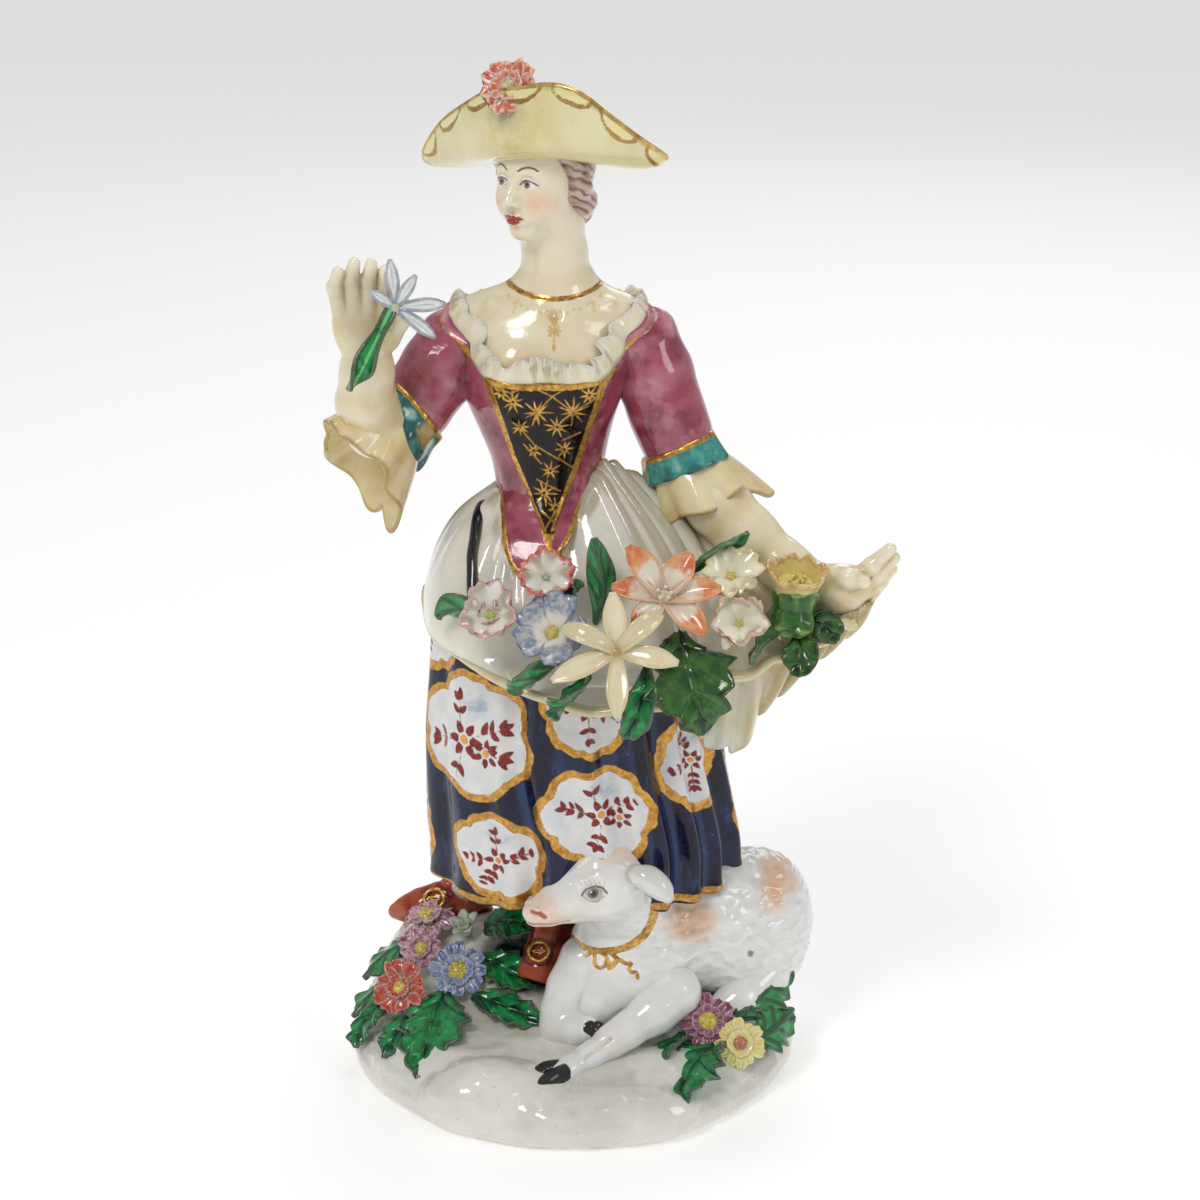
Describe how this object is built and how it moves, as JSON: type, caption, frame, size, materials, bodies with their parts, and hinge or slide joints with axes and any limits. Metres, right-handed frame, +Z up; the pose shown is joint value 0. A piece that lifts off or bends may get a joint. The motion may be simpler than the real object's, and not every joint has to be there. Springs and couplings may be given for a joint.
{
  "type": "porcelain figurine",
  "caption": "Glazed porcelain shepherdess standing on a rocky mound with a resting lamb, holding her apron full of flowers; a free-standing display ornament.",
  "frame": {"origin": "centre of the underside of the base, on the surface it stands on", "axes": "+Z up, -Y the way the figure faces, +X to the viewer's right"},
  "size_m": [0.1295, 0.108, 0.2397],
  "materials": {
    "white_glaze": "glossy glaze",
    "blue_enamel": "glossy glaze",
    "iron_red_enamel": "glossy glaze",
    "gilding": "burnished gilding",
    "flesh_glaze": "glossy glaze",
    "rose_enamel": "glossy glaze",
    "black_enamel": "glossy glaze",
    "lace_glaze": "glossy glaze",
    "hair_enamel": "glossy glaze",
    "yellow_enamel": "glossy glaze",
    "turquoise_enamel": "glossy glaze",
    "apron_glaze": "glossy glaze",
    "green_enamel": "glossy glaze",
    "petal_white": "glossy glaze",
    "petal_orange": "glossy glaze",
    "petal_red": "glossy glaze",
    "petal_blue": "glossy glaze",
    "petal_mauve": "glossy glaze"
  },
  "bodies": {
    "root": {"apron": "apron_glaze", "apron_corner": "apron_glaze", "apron_leaves": "green_enamel", "apron_ribbon": "black_enamel", "base_bud_sprig": "petal_white", "base_flower_blue": "petal_blue", "base_flower_mauve_back": "petal_mauve", "base_flower_mauve_front": "petal_mauve", "base_flower_plum": "petal_mauve", "base_flower_red": "iron_red_enamel", "base_flower_yellow": "yellow_enamel", "base_leaves_left": "green_enamel", "base_leaves_right": "green_enamel", "base_mound": "white_glaze", "blue_primula": "petal_blue", "bodice": "rose_enamel", "bodice_point": "rose_enamel", "bud_calyx": "green_enamel", "bust": "flesh_glaze", "cuff_left": "turquoise_enamel", "cuff_right": "turquoise_enamel", "forearm_left": "flesh_glaze", "forearm_right": "flesh_glaze", "hair": "hair_enamel", "hand_left": "flesh_glaze", "hand_right": "flesh_glaze", "hat": "yellow_enamel", "hat_crown": "yellow_enamel", "hat_flower": "petal_red", "head": "flesh_glaze", "lace_frill": "lace_glaze", "lamb_body": "white_glaze", "lamb_ears": "white_glaze", "lamb_foreleg_folded": "white_glaze", "lamb_foreleg_out": "white_glaze", "lamb_head": "white_glaze", "lamb_hindleg": "white_glaze", "lamb_hooves": "black_enamel", "lamb_tail": "white_glaze", "orange_lily": "petal_orange", "pink_rose_left": "petal_white", "red_edged_rose": "petal_red", "ruffle_left": "lace_glaze", "ruffle_right": "lace_glaze", "shoe_buckles": "gilding", "shoe_left": "iron_red_enamel", "shoe_right": "iron_red_enamel", "skirt": "blue_enamel", "sleeve_left": "rose_enamel", "sleeve_right": "rose_enamel", "sprig_flower": "petal_white", "sprig_leaf": "green_enamel", "stocking_left": "white_glaze", "stocking_right": "white_glaze", "stomacher": "black_enamel", "vine_leaf": "green_enamel", "white_cup_flower": "petal_white", "white_lily": "petal_white", "yellow_bud_flower": "yellow_enamel", "yellow_primula": "yellow_enamel"}
  },
  "joints": []
}
